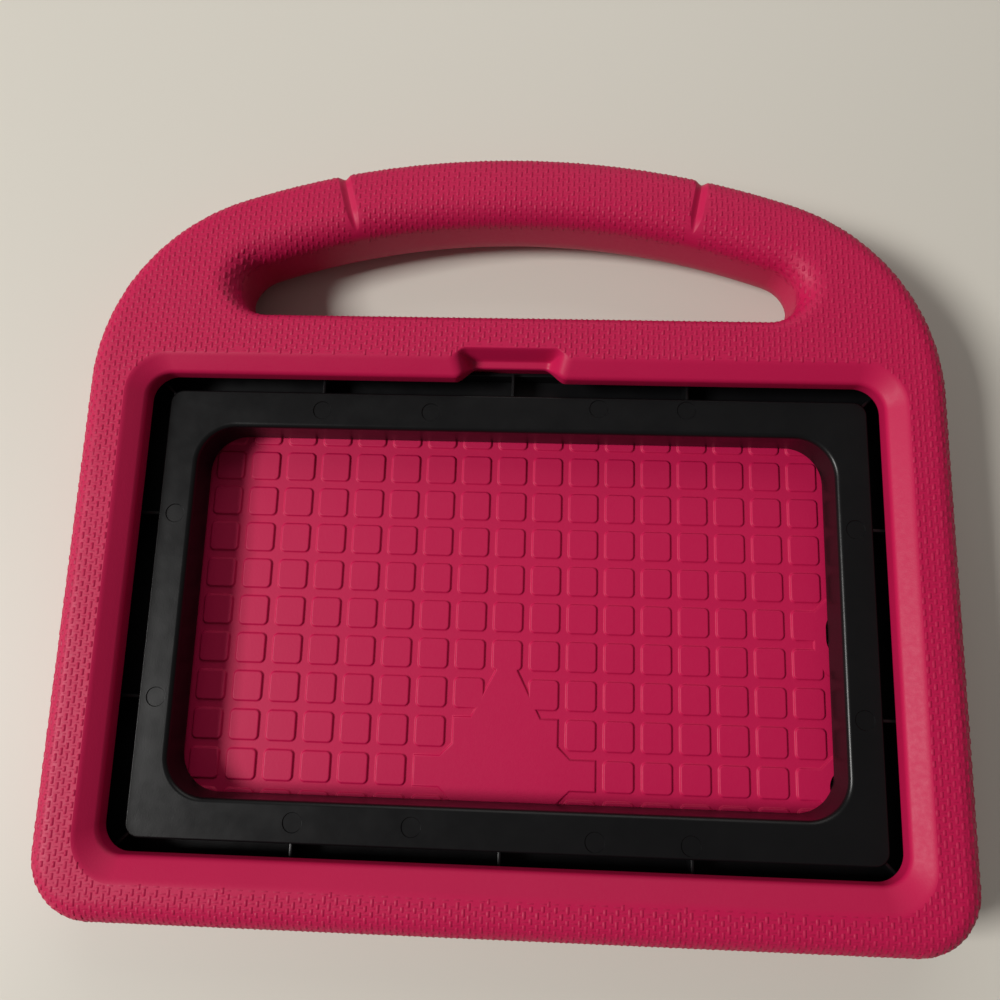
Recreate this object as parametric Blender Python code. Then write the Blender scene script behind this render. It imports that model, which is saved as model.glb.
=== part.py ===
"""Carry case for a small tablet, lying on its back: a moulded foam shell with an
arched handle, and the plastic frame that fills the tablet bay.

X is the width, Y runs up towards the handle, Z is the thickness from the back to the front.
Lengths are written in millimetres and turned into metres by MM."""
import math

import bmesh
import bpy

MM = 0.001

# Plastic frame: as big as the tablet that the case is made for, so it sets the size of the bay
FRAME_W, FRAME_H, FRAME_R = 188.4, 115.0, 6.0
FRAME_T = 9.7
FRAME_GAP = 0.3

# Floor under the frame, with raised squares
FLOOR_Z = 5.5
SQUARE_H = 0.7

# Tablet bay: the frame with room round it and above it
BAY_CLEAR_X, BAY_CLEAR_Y, BAY_CLEAR_Z = 1.1, 0.5, 0.4
BAY_W, BAY_H = FRAME_W + 2 * BAY_CLEAR_X, FRAME_H + 2 * BAY_CLEAR_Y
BAY_R = FRAME_R + 1.0

# Lip over the edge of the frame, and the ramp from the lip up to the front face
LIP_SIDE, LIP_ABOVE, LIP_BELOW = 10.0, 3.75, 4.45
LIP_T = 2.3
LIP_R = 6.0
LIP_ROUND = 0.5
RAMP_SIDE, RAMP_ABOVE, RAMP_BELOW = 4.6, 4.0, 4.9
RAMP_RISE = 5.1
RAMP_R = 9.5
LIP_UNDER_Z = FLOOR_Z + SQUARE_H + FRAME_GAP + FRAME_T + BAY_CLEAR_Z
LIP_TOP_Z = LIP_UNDER_Z + LIP_T
THICKNESS = LIP_TOP_Z + RAMP_RISE

# Outline of the shell: straight sides, small bottom corners, round shoulders, one flat top arc
SIDE_WALL, BOTTOM_WALL = 4.5, 9.8
HEAD_H = 52.5
SHELL_HALF_W = BAY_W / 2 + SIDE_WALL
SHELL_HALF_H = (BOTTOM_WALL + BAY_H + HEAD_H) / 2
BAY_Y = BOTTOM_WALL + BAY_H / 2 - SHELL_HALF_H
TOP_R = 197.9
SHOULDER_R = 50.2
BOTTOM_R = 14.1
EDGE_R = 5.5

# Middle of the slot, the creases, the squares and the frame, a little right of the outline's middle
INNER_X = 0.7

# Handle slot: its upper side runs parallel to the outline, its lower side is straight
HANDLE_W = 16.9
BRIDGE_W = 10.25
SLOT_END_WALL = 33.4
SLOT_HALF_W = SHELL_HALF_W - SLOT_END_WALL
SLOT_BOTTOM_Y = BAY_Y + BAY_H / 2 + BRIDGE_W
SLOT_FRONT_R_BRIDGE, SLOT_FRONT_R_HANDLE = 2.5, 6.0
SLOT_BACK_R_BRIDGE, SLOT_BACK_R_HANDLE = 4.0, 11.0

# Creases that mark the ends of the grip: the left one leans a little more than the right one
CREASE_X = 44.8
LEFT_LEAN, RIGHT_LEAN = 19.0, 14.0
CREASE_W, CREASE_DEPTH = 2.8, 0.7
CREASE_CLEAR = 0.2
CREASE_PAST_WALL = 0.3

# Notch in the top edge of the window, at the lip and at the front face
NOTCH_HALF_W, NOTCH_DEPTH, NOTCH_SLOPE = 7.9, 2.6, 4.4
NOTCH_FRONT_HALF_W, NOTCH_FRONT_DEPTH = 10.6, 1.8

# Raised squares, in columns and rows counted from the middle one to the last that fits
PITCH_X, PITCH_Y = 8.75, 8.9
SQUARE_W = 7.1
SQUARE_DRAFT = 0.15
SQUARE_CORNER = 0.9
GRID_MARGIN = 6.0
GRID_Y = BAY_Y - 0.42
LAST_COLUMN = int((BAY_W / 2 - GRID_MARGIN - SQUARE_W / 2) / PITCH_X)
LAST_ROW = int((BAY_H / 2 - GRID_MARGIN - SQUARE_W / 2) / PITCH_Y)
PAD_ROOT = 0.5

# Bare plate near the bottom of the floor, half widths measured from the middle column
TIP_HALF_W, NECK_HALF_W, PLATE_CHAMFER = 2.6, 8.1, 2.8

# Smooth islands at the right end of the floor, each with a height and a place below the bay's middle
ISLAND_GAP, ISLAND_W, ISLAND_CHAMFER = 3.3, 19.8, 3.2
UPPER_ISLAND_H, UPPER_ISLAND_DROP = 17.8, 2.95
LOWER_ISLAND_H, LOWER_ISLAND_DROP = 12.9, 36.2

# Holes through the floor, each with its shift from the middle of its island
OBLONG_W, OBLONG_H, OBLONG_R = 13.6, 10.6, 4.0
OBLONG_SHIFT = (-0.9, 0.8)
ROUND_R = 4.2
ROUND_SHIFT = (-3.7, -0.25)

# Parts of the frame: low flange outside, high face band inside, ribs between them
FLANGE_T = 3.2
FLANGE_SIDE, FLANGE_ABOVE = 11.7, 6.35
BAND_SIDE, BAND_ABOVE = 7.9, 8.9
FACE_W, FACE_H, FACE_R = FRAME_W - 2 * FLANGE_SIDE, FRAME_H - 2 * FLANGE_ABOVE, 3.2
OPEN_W, OPEN_H, OPEN_R = FACE_W - 2 * BAND_SIDE, FACE_H - 2 * BAND_ABOVE, 9.0
FACE_EDGE = 0.5
RIB_T, RIB_DROP, RIB_MARGIN = 1.1, 0.5, 0.8
LONG_RIBS_X = (-45.5, -0.2, 41.0)
SHORT_RIBS_Y = (-21.0, 21.0)
CORNER_RIB = 6.0

# Ejector pin marks: place along the band, and how far out from the middle of the band
PIN_R, PIN_DEPTH = 2.2, 0.25
LONG_PINS = ((-45.5, 0.0), (-19.5, 0.0), (20.2, 1.6), (40.7, 1.6))

OVER = 2.0


def clear_scene():
    for obj in list(bpy.data.objects):
        bpy.data.objects.remove(obj, do_unlink=True)
    for coll in list(bpy.data.collections):
        bpy.data.collections.remove(coll)


def make_collection(name):
    coll = bpy.data.collections.new(name)
    bpy.context.scene.collection.children.link(coll)
    return coll


def material(name, colour, roughness, metallic=0.0):
    mat = bpy.data.materials.new(name)
    mat.use_nodes = True
    shader = mat.node_tree.nodes["Principled BSDF"]
    shader.inputs["Base Color"].default_value = (*colour, 1.0)
    shader.inputs["Roughness"].default_value = roughness
    shader.inputs["Metallic"].default_value = metallic
    mat.diffuse_color = (*colour, 1.0)
    return mat


def arc(cx, cy, radius, start, end, steps, skip_last=False):
    """Points on an arc from one angle to another, in degrees."""
    count = steps if skip_last else steps + 1
    points = []
    for k in range(count):
        angle = math.radians(start + (end - start) * k / steps)
        points.append((cx + radius * math.cos(angle), cy + radius * math.sin(angle)))
    return points


def mirrored(right_half):
    """Closes a path given for x >= 0, from the bottom to the top, with its mirror image."""
    left_half = [(-x, y) for x, y in reversed(right_half)]
    return right_half + [p for p in left_half if abs(p[0]) > 1e-6]


def rounded_rect(cx, cy, width, height, radius, steps=6):
    dx, dy = width / 2 - radius, height / 2 - radius
    path = []
    for sx, sy, start in ((1, -1, -90), (1, 1, 0), (-1, 1, 90), (-1, -1, 180)):
        path += arc(cx + sx * dx, cy + sy * dy, radius, start, start + 90, steps)
    return path


def arch(inset, top_steps=7, shoulder_steps=12, corner_steps=7):
    """Outline of the shell, moved inwards by inset."""
    reach = SHELL_HALF_W - SHOULDER_R
    top_cy = SHELL_HALF_H - TOP_R
    shoulder_cy = top_cy + math.sqrt((TOP_R - SHOULDER_R) ** 2 - reach ** 2)
    lean = math.degrees(math.asin(reach / (TOP_R - SHOULDER_R)))
    corner = (SHELL_HALF_W - BOTTOM_R, BOTTOM_R - SHELL_HALF_H)
    half = arc(*corner, BOTTOM_R - inset, -90, 0, corner_steps)
    half += arc(reach, shoulder_cy, SHOULDER_R - inset, 0, 90 - lean, shoulder_steps)
    half += arc(0, top_cy, TOP_R - inset, 90 - lean, 90, top_steps)[1:]
    return mirrored(half)


def slot_end(cx, cy, radius):
    """Round end of the slot: it touches the end line, the lower side and an arc of the upper side."""
    side = SLOT_HALF_W - cx
    rise = SLOT_BOTTOM_Y - cy
    span = rise + radius - side
    end_r = math.sqrt(span ** 2 + radius ** 2 - side ** 2 - rise ** 2) - span
    end_x, end_y = SLOT_HALF_W - end_r, SLOT_BOTTOM_Y + end_r
    meet = math.degrees(math.atan2(end_y - cy, end_x - cx))
    return end_x, end_y, end_r, meet


def slot_path():
    """Outline of the handle slot: arcs and one straight side that all run into each other."""
    reach = SHELL_HALF_W - SHOULDER_R
    top_cy = SHELL_HALF_H - TOP_R
    top = TOP_R - HANDLE_W
    shoulder_cy = top_cy + math.sqrt((TOP_R - SHOULDER_R) ** 2 - reach ** 2)
    shoulder = SHOULDER_R - HANDLE_W
    corner = 90 - math.degrees(math.asin(reach / (TOP_R - SHOULDER_R)))
    end_x, end_y, end_r, meet = slot_end(reach, shoulder_cy, shoulder)
    if meet < corner:
        upper = arc(reach, shoulder_cy, shoulder, meet, corner, 3, skip_last=True)
        upper += arc(0, top_cy, top, corner, 90, 7)
    else:
        end_x, end_y, end_r, meet = slot_end(0, top_cy, top)
        upper = arc(0, top_cy, top, meet, 90, 7)
    straight = [(end_x * k / 3, SLOT_BOTTOM_Y) for k in range(3)]
    half = straight + arc(end_x, end_y, end_r, -90, meet, 8, skip_last=True) + upper
    return [(x + INNER_X, y) for x, y in mirrored(half)]


def window_path(half_w, top, bottom, radius, notch_half_w, notch_depth):
    """Rounded rectangle round the screen, with the notch in the middle of its top edge."""
    path = rounded_rect(0, (top + bottom) / 2, 2 * half_w, top - bottom, radius)
    foot = notch_half_w + NOTCH_SLOPE * notch_depth / NOTCH_DEPTH
    notch = [(foot, top), (notch_half_w, top + notch_depth),
             (-notch_half_w, top + notch_depth), (-foot, top)]
    half = len(path) // 2
    return path[:half] + notch + path[half:]


def to_object(bm, name, coll):
    bmesh.ops.recalc_face_normals(bm, faces=bm.faces[:])
    mesh = bpy.data.meshes.new(name)
    bm.to_mesh(mesh)
    bm.free()
    obj = bpy.data.objects.new(name, mesh)
    coll.objects.link(obj)
    if coll.name == "cutters":
        obj.hide_render = True
        obj.display_type = "WIRE"
    return obj


def slab(name, loops, z0, z1, coll, edge=0.0):
    """A flat solid between two heights from closed 2D curves; edge rounds its rims."""
    curve = bpy.data.curves.new(name, "CURVE")
    curve.dimensions = "2D"
    curve.fill_mode = "BOTH"
    curve.extrude = ((z1 - z0) / 2 - edge) * MM
    curve.bevel_depth = edge * MM
    curve.bevel_resolution = 3
    for loop in loops:
        spline = curve.splines.new("POLY")
        spline.points.add(len(loop) - 1)
        for point, (x, y) in zip(spline.points, loop):
            point.co = (x * MM, y * MM, 0.0, 1.0)
        spline.use_cyclic_u = True
    holder = bpy.data.objects.new(name, curve)
    bpy.context.scene.collection.objects.link(holder)
    bpy.context.view_layer.update()
    evaluated = holder.evaluated_get(bpy.context.evaluated_depsgraph_get())
    bm = bmesh.new()
    bm.from_mesh(evaluated.to_mesh())
    evaluated.to_mesh_clear()
    bpy.data.objects.remove(holder, do_unlink=True)
    bmesh.ops.remove_doubles(bm, verts=bm.verts[:], dist=0.00001)
    bmesh.ops.translate(bm, verts=bm.verts[:], vec=(0.0, 0.0, (z0 + z1) / 2 * MM))
    return to_object(bm, name, coll)


def loft(name, rings, coll):
    """Closed solid through rings of points that all have the same count."""
    bm = bmesh.new()
    layers = [[bm.verts.new((x * MM, y * MM, z * MM)) for x, y, z in ring] for ring in rings]
    count = len(layers[0])
    for low, high in zip(layers, layers[1:]):
        for k in range(count):
            nxt = (k + 1) % count
            bm.faces.new((low[k], low[nxt], high[nxt], high[k]))
    bm.faces.new(list(reversed(layers[0])))
    bm.faces.new(layers[-1])
    return to_object(bm, name, coll)


def at_height(path, z):
    return [(x, y, z) for x, y in path]


def apply_boolean(obj, other, operation):
    mod = obj.modifiers.new(other.name, "BOOLEAN")
    mod.operation = operation
    mod.solver = "EXACT"
    mod.object = other
    bpy.context.view_layer.update()
    evaluated = obj.evaluated_get(bpy.context.evaluated_depsgraph_get())
    mesh = bpy.data.meshes.new_from_object(evaluated)
    obj.modifiers.remove(mod)
    old = obj.data
    obj.data = mesh
    mesh.name = obj.name
    bpy.data.meshes.remove(old)
    bm = bmesh.new()
    bm.from_mesh(mesh)
    bmesh.ops.remove_doubles(bm, verts=bm.verts[:], dist=0.000005)
    bm.to_mesh(mesh)
    bm.free()


def flared_slot(coll):
    """Cutter for the slot: it widens at the back and the front, so both rims come out round."""
    path = slot_path()
    count = len(path)
    normals = []
    for k in range(count):
        x0, y0 = path[k - 1]
        x1, y1 = path[(k + 1) % count]
        length = math.hypot(x1 - x0, y1 - y0)
        normals.append(((y1 - y0) / length, (x0 - x1) / length))
    steps = 4
    rings = []
    for side, bridge_r, handle_r in ((-1, SLOT_BACK_R_BRIDGE, SLOT_BACK_R_HANDLE),
                                     (1, SLOT_FRONT_R_BRIDGE, SLOT_FRONT_R_HANDLE)):
        level = 0.0 if side < 0 else THICKNESS
        fan = []
        for k in range(steps + 1):
            turn = math.radians(90 * k / steps)
            ring = []
            for (x, y), (nx, ny) in zip(path, normals):
                radius = bridge_r + (handle_r - bridge_r) * min(1.0, 1.0 + ny)
                out = radius * (1 - math.cos(turn))
                z = level - side * radius * (1 - math.sin(turn))
                ring.append((x + nx * out, y + ny * out, z))
            fan.append(ring)
        beyond = [(x, y, level + side * OVER) for x, y, _ in fan[-1]]
        fan.append(beyond)
        rings += fan if side > 0 else list(reversed(fan))
    return loft("slot_cutter", rings, coll)


def crease_cutter(sign, lean_degrees, coll):
    """Cutter for one crease: a slab across the handle around a waisted core that stays."""
    rim_x = INNER_X + sign * CREASE_X
    lean = math.radians(lean_degrees)
    up = (sign * math.sin(lean), math.cos(lean))
    across = (up[1], -up[0])
    rim = (rim_x, SHELL_HALF_H - TOP_R + math.sqrt(TOP_R ** 2 - rim_x ** 2))

    def section(depth, shift, inner):
        wide = inner - depth
        shape = rounded_rect(-(inner + depth) / 2, THICKNESS / 2, wide, THICKNESS - 2 * depth, EDGE_R, 4)
        return [(rim[0] + up[0] * u + across[0] * shift, rim[1] + up[1] * u + across[1] * shift, z)
                for u, z in shape]

    half = CREASE_W / 2
    past_wall = HANDLE_W + CREASE_PAST_WALL
    core = loft("crease_core", [section(-CREASE_CLEAR, -half - 1, past_wall),
                                section(-CREASE_CLEAR, -half, past_wall),
                                section(CREASE_DEPTH, 0.0, past_wall),
                                section(-CREASE_CLEAR, half, past_wall),
                                section(-CREASE_CLEAR, half + 1, past_wall)], coll)
    cutter = loft("crease_cutter", [section(-OVER, -half, HANDLE_W + OVER),
                                    section(-OVER, half, HANDLE_W + OVER)], coll)
    apply_boolean(cutter, core, "DIFFERENCE")
    return cutter


def inset_path(path, distance):
    """Moves every side of a closed path, drawn counter-clockwise, inwards by the same distance."""
    moved = []
    count = len(path)
    for k in range(count):
        (x0, y0), (x1, y1), (x2, y2) = path[k - 1], path[k], path[(k + 1) % count]
        first, second = math.hypot(x1 - x0, y1 - y0), math.hypot(x2 - x1, y2 - y1)
        ax, ay = (y0 - y1) / first, (x1 - x0) / first
        bx, by = (y1 - y2) / second, (x2 - x1) / second
        mitre = distance / (1 + ax * bx + ay * by)
        moved.append((x1 + (ax + bx) * mitre, y1 + (ay + by) * mitre))
    return moved


def column_x(column):
    """Middle of a column of squares; column 0 is the middle one, and columns count to the right."""
    return INNER_X + column * PITCH_X


def row_y(row):
    """Middle of a row of squares; row 0 is the middle one, and rows count downwards."""
    return GRID_Y - row * PITCH_Y


def plate_path():
    """Bare plate of the floor: a tip under one square, then three steps that follow the grid."""
    half = SQUARE_W / 2
    middle = column_x(0)
    narrow = PITCH_X + half
    wide = 2 * PITCH_X + half
    tip, upper, lower = row_y(1) - half, row_y(3) + half, row_y(4) + half
    sole, foot = row_y(4) - half, row_y(5) - half
    side = [(narrow, foot), (narrow, sole - PLATE_CHAMFER), (narrow + PLATE_CHAMFER, sole),
            (wide, sole), (wide, lower), (narrow + PLATE_CHAMFER, lower),
            (narrow, lower + PLATE_CHAMFER), (narrow, upper), (NECK_HALF_W, upper),
            (TIP_HALF_W, tip), (TIP_HALF_W, tip + 1.0)]
    return [(middle + x, y) for x, y in mirrored(side)]


def island_middle(drop):
    return BAY_W / 2 - ISLAND_GAP - ISLAND_W / 2, BAY_Y - drop


def island_path(height, drop):
    cx, cy = island_middle(drop)
    left, right = cx - ISLAND_W / 2, cx + ISLAND_W / 2
    top, bottom = cy + height / 2, cy - height / 2
    return [(left, bottom + ISLAND_CHAMFER), (left + ISLAND_CHAMFER, bottom), (right, bottom),
            (right, top), (left + ISLAND_CHAMFER, top), (left, top - ISLAND_CHAMFER)]


def square_paths():
    """Outlines of the raised squares, without those that lie whole inside the plate or an island."""
    half, corner = SQUARE_W / 2, SQUARE_CORNER
    under_plate = {(-1, 3), (0, 3), (1, 3), (-2, 4), (-1, 4), (0, 4), (1, 4), (2, 4),
                   (-1, 5), (0, 5), (1, 5)}
    under_islands = {(9, 0), (9, 1), (9, 4)}
    octagon = [(half, -half + corner), (half, half - corner), (half - corner, half),
               (-half + corner, half), (-half, half - corner), (-half, -half + corner),
               (-half + corner, -half), (half - corner, -half)]
    for column in range(-LAST_COLUMN, LAST_COLUMN + 1):
        for row in range(-LAST_ROW, LAST_ROW + 1):
            if (column, row) not in under_plate | under_islands:
                yield [(column_x(column) + x, row_y(row) + y) for x, y in octagon]


def floor_pads(name, paths, coll):
    """Raised pads with sides that lean in; they reach a little way into the floor to join it."""
    bm = bmesh.new()
    slope = SQUARE_DRAFT / SQUARE_H
    for path in paths:
        low_path = inset_path(path, -slope * PAD_ROOT)
        high_path = inset_path(path, SQUARE_DRAFT)
        low = [bm.verts.new((x * MM, y * MM, (FLOOR_Z - PAD_ROOT) * MM)) for x, y in low_path]
        high = [bm.verts.new((x * MM, y * MM, (FLOOR_Z + SQUARE_H) * MM)) for x, y in high_path]
        for k in range(len(path)):
            nxt = (k + 1) % len(path)
            bm.faces.new((low[k], low[nxt], high[nxt], high[k]))
        bm.faces.new(list(reversed(low)))
        bm.faces.new(high)
    return to_object(bm, name, coll)


def shade(obj, angle=35.0):
    obj.data.polygons.foreach_set("use_smooth", [True] * len(obj.data.polygons))
    obj.data.set_sharp_from_angle(angle=math.radians(angle))


def build_shell(parts, cutters):
    shell = slab("foam_shell", [arch(EDGE_R)], 0, THICKNESS, parts, edge=EDGE_R)
    apply_boolean(shell, flared_slot(cutters), "DIFFERENCE")
    for sign, lean in ((-1, LEFT_LEAN), (1, RIGHT_LEAN)):
        apply_boolean(shell, crease_cutter(sign, lean, cutters), "DIFFERENCE")
    bay = slab("bay_cutter", [rounded_rect(0, BAY_Y, BAY_W, BAY_H, BAY_R)], FLOOR_Z, LIP_UNDER_Z, cutters)
    apply_boolean(shell, bay, "DIFFERENCE")
    half_w, high, low = BAY_W / 2 - LIP_SIDE, BAY_Y + BAY_H / 2 - LIP_ABOVE, BAY_Y - BAY_H / 2 + LIP_BELOW
    lip = window_path(half_w, high, low, LIP_R, NOTCH_HALF_W, NOTCH_DEPTH)
    rim = window_path(half_w + LIP_ROUND, high + LIP_ROUND, low - LIP_ROUND, LIP_R + LIP_ROUND,
                      NOTCH_HALF_W, NOTCH_DEPTH)
    front = window_path(half_w + RAMP_SIDE, high + RAMP_ABOVE, low - RAMP_BELOW, RAMP_R,
                        NOTCH_FRONT_HALF_W, NOTCH_FRONT_DEPTH)
    window = loft("window_cutter", [at_height(lip, LIP_UNDER_Z - OVER), at_height(lip, LIP_TOP_Z - LIP_ROUND),
                                    at_height(rim, LIP_TOP_Z), at_height(front, THICKNESS),
                                    at_height(front, THICKNESS + OVER)], cutters)
    apply_boolean(shell, window, "DIFFERENCE")
    plates = [plate_path(), island_path(UPPER_ISLAND_H, UPPER_ISLAND_DROP),
              island_path(LOWER_ISLAND_H, LOWER_ISLAND_DROP)]
    apply_boolean(shell, floor_pads("plates", plates, cutters), "UNION")
    apply_boolean(shell, floor_pads("squares", square_paths(), cutters), "UNION")
    top = FLOOR_Z + SQUARE_H + OVER
    upper_x, upper_y = island_middle(UPPER_ISLAND_DROP)
    oblong = rounded_rect(upper_x + OBLONG_SHIFT[0], upper_y + OBLONG_SHIFT[1], OBLONG_W, OBLONG_H,
                          OBLONG_R)
    lower_x, lower_y = island_middle(LOWER_ISLAND_DROP)
    ring = arc(lower_x + ROUND_SHIFT[0], lower_y + ROUND_SHIFT[1], ROUND_R, 0, 360, 24, skip_last=True)
    for name, path in (("oblong_hole", oblong), ("round_hole", ring)):
        apply_boolean(shell, slab(name, [path], -OVER, top, cutters), "DIFFERENCE")
    return shell


def bar_path(cx, cy, length, width, turn):
    """Rectangle round a centre, turned by an angle in radians."""
    path = []
    for sx, sy in ((1, -1), (1, 1), (-1, 1), (-1, -1)):
        x, y = sx * length / 2, sy * width / 2
        path.append((cx + x * math.cos(turn) - y * math.sin(turn),
                     cy + x * math.sin(turn) + y * math.cos(turn)))
    return path


def rib_paths(cx, cy):
    """Ribs in the low channel, from the band out to just short of the flange edge."""
    half_w, half_h = FACE_W / 2, FACE_H / 2
    reach_x, reach_y = FRAME_W / 2 - RIB_MARGIN - half_w, FRAME_H / 2 - RIB_MARGIN - half_h
    for side in (-1, 1):
        for x in LONG_RIBS_X:
            yield bar_path(cx + x, cy + side * (half_h + (reach_y - RIB_MARGIN) / 2),
                           RIB_T, reach_y + RIB_MARGIN, 0)
        for y in SHORT_RIBS_Y:
            yield bar_path(cx + side * (half_w + (reach_x - RIB_MARGIN) / 2), cy + y,
                           reach_x + RIB_MARGIN, RIB_T, 0)
    for sx, sy in ((1, 1), (-1, 1), (-1, -1), (1, -1)):
        turn = math.atan2(sy, sx)
        middle = FACE_R * (math.sqrt(0.5) - 1) + CORNER_RIB / 2 - RIB_MARGIN
        yield bar_path(cx + sx * half_w + middle * math.cos(turn), cy + sy * half_h + middle * math.sin(turn),
                       CORNER_RIB, RIB_T, turn)


def pin_paths(cx, cy):
    """Round marks of the ejector pins along the band."""
    mid_x, mid_y = (FACE_W + OPEN_W) / 4, (FACE_H + OPEN_H) / 4
    for side in (-1, 1):
        for x, out in LONG_PINS:
            yield arc(cx + x, cy + side * (mid_y + out), PIN_R, 0, 360, 20, skip_last=True)
        for y in SHORT_RIBS_Y:
            yield arc(cx + side * mid_x, cy + y, PIN_R, 0, 360, 20, skip_last=True)


def build_frame(parts, cutters):
    bottom = FLOOR_Z + SQUARE_H + FRAME_GAP
    top = bottom + FRAME_T
    cx, cy = INNER_X, BAY_Y
    rounding = 2 * FACE_EDGE
    band = [rounded_rect(cx, cy, FACE_W - rounding, FACE_H - rounding, FACE_R - FACE_EDGE),
            rounded_rect(cx, cy, OPEN_W + rounding, OPEN_H + rounding, OPEN_R + FACE_EDGE, 10)]
    frame = slab("inner_frame", band, bottom, top, parts, edge=FACE_EDGE)
    buried = rounding + OVER
    flange = [rounded_rect(cx, cy, FRAME_W, FRAME_H, FRAME_R),
              rounded_rect(cx, cy, FACE_W - buried, FACE_H - buried, FACE_R)]
    apply_boolean(frame, slab("flange", flange, bottom, bottom + FLANGE_T, cutters), "UNION")
    for path in rib_paths(cx, cy):
        rib = slab("rib", [path], bottom + FLANGE_T / 2, top - RIB_DROP, cutters)
        apply_boolean(frame, rib, "UNION")
    for path in pin_paths(cx, cy):
        pin = slab("pin_mark", [path], top - PIN_DEPTH, top + OVER, cutters)
        apply_boolean(frame, pin, "DIFFERENCE")
    return frame


def main():
    clear_scene()
    parts = make_collection("kids_tablet_case")
    cutters = make_collection("cutters")
    shell = build_shell(parts, cutters)
    frame = build_frame(parts, cutters)
    shell.data.materials.append(material("pink_foam", (0.56, 0.016, 0.075), 0.62))
    frame.data.materials.append(material("black_plastic", (0.012, 0.012, 0.013), 0.38))
    for obj in (shell, frame):
        shade(obj)


main()
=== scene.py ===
# %% [markdown]
# A foam carry case for a small tablet, lying on its back. The case is one thick piece of pink foam
# that was moulded in a steel tool, and a black plastic frame lies in the place of the tablet.
# The CAD model gives the sizes and the collision shapes. This lesson builds the two pieces again with
# soft edges, a woven pattern that stands out of the foam, and finishes made from nodes.

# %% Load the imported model
import math

import bmesh
import bpy
import numpy as np
from mathutils import Matrix, Vector
from mathutils.bvhtree import BVHTree


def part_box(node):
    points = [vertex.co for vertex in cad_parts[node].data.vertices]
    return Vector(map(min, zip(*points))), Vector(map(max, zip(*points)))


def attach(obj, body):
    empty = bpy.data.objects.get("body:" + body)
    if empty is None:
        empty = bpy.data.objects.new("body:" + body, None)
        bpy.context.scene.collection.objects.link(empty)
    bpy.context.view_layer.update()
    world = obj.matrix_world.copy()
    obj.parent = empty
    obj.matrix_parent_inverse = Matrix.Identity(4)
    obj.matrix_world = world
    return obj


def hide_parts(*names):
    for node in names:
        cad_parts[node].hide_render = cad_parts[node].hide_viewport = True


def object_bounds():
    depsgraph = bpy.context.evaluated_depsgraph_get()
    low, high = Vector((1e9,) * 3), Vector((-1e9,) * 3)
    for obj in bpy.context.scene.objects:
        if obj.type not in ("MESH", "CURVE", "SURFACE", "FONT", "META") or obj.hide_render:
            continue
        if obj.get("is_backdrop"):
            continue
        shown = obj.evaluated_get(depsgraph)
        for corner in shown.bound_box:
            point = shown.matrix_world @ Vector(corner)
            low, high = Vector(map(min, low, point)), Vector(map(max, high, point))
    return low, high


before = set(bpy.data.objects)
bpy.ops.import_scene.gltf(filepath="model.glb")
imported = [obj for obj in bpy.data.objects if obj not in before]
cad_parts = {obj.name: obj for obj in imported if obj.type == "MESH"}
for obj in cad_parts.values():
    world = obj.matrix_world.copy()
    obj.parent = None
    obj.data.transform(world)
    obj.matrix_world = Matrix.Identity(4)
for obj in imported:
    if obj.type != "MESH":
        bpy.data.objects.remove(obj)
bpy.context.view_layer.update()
print("CAD nodes:", len(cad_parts))

# %% [markdown]
# Every size of the case is in millimetres, because that is how a toolmaker reads a drawing, and MM
# turns it into Blender's metres when a vertex is made. Only the table, the lamps and the camera are
# placed in metres. The outer sizes and the middle of the tablet bay are read from the CAD nodes, so
# the new pieces land exactly where the solids are.

# %% Read the main sizes from the CAD nodes
MM = 0.001
_, shell_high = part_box("foam_shell")
insert_low, insert_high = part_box("inner_frame")
HALF_W, HALF_H, THICK = (v / MM for v in shell_high)
INNER_X = (insert_low.x + insert_high.x) / 2 / MM
BAY_Y = (insert_low.y + insert_high.y) / 2 / MM
INSERT_W, INSERT_H = ((insert_high - insert_low) / MM)[:2]
INSERT_LOW_Z, INSERT_TOP_Z = insert_low.z / MM, insert_high.z / MM
print(f"shell {2 * HALF_W:.1f} x {2 * HALF_H:.1f} x {THICK:.1f} mm, bay middle {INNER_X:.2f}, {BAY_Y:.2f}")

# %% [markdown]
# Moulded parts are drawn as outlines made of arcs and straight lines that run into each other. These
# helpers give such outlines as lists of points. A finer part only needs more steps on its arcs.

# %% Helpers for outlines
ON_AXIS = 1e-6


def arc(cx, cy, radius, start, end, steps, skip_last=False):
    """Points on an arc between two angles in degrees."""
    count = steps if skip_last else steps + 1
    turns = [math.radians(start + (end - start) * k / steps) for k in range(count)]
    return [(cx + radius * math.cos(a), cy + radius * math.sin(a)) for a in turns]


def mirrored(right_half):
    """Closes a path given for x >= 0, from bottom to top, with its mirror image."""
    left_half = [(-x, y) for x, y in reversed(right_half)]
    return right_half + [p for p in left_half if abs(p[0]) > ON_AXIS]


def rounded_rect(cx, cy, width, height, radius, steps=10):
    """A rectangle with round corners, drawn counter-clockwise from its lower right corner."""
    dx, dy = width / 2 - radius, height / 2 - radius
    path = []
    for sx, sy, start in ((1, -1, -90), (1, 1, 0), (-1, 1, 90), (-1, -1, 180)):
        path += arc(cx + sx * dx, cy + sy * dy, radius, start, start + 90, steps)
    return path


def smooth_step(value):
    """Goes softly from 0 to 1 while value goes from 0 to 1."""
    value = min(1.0, max(0.0, value))
    return value * value * (3 - 2 * value)


print("a rounded square has", len(rounded_rect(0, 0, 10, 10, 2)), "points")

# %% [markdown]
# Two ways to turn outlines into solids. A slab is a flat curve with a bevel: Blender rounds its rims
# all the way round, as a ball-nosed cutter would. A loft is a stack of rings with the same number of
# points, joined by quads, which can change shape from one height to the next. Pieces are then cut and
# joined by exact booleans. Points closer together than the weld distances are merged, and a cutter
# that goes out through a face reaches past it, because faces that only touch make booleans fail.

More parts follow.
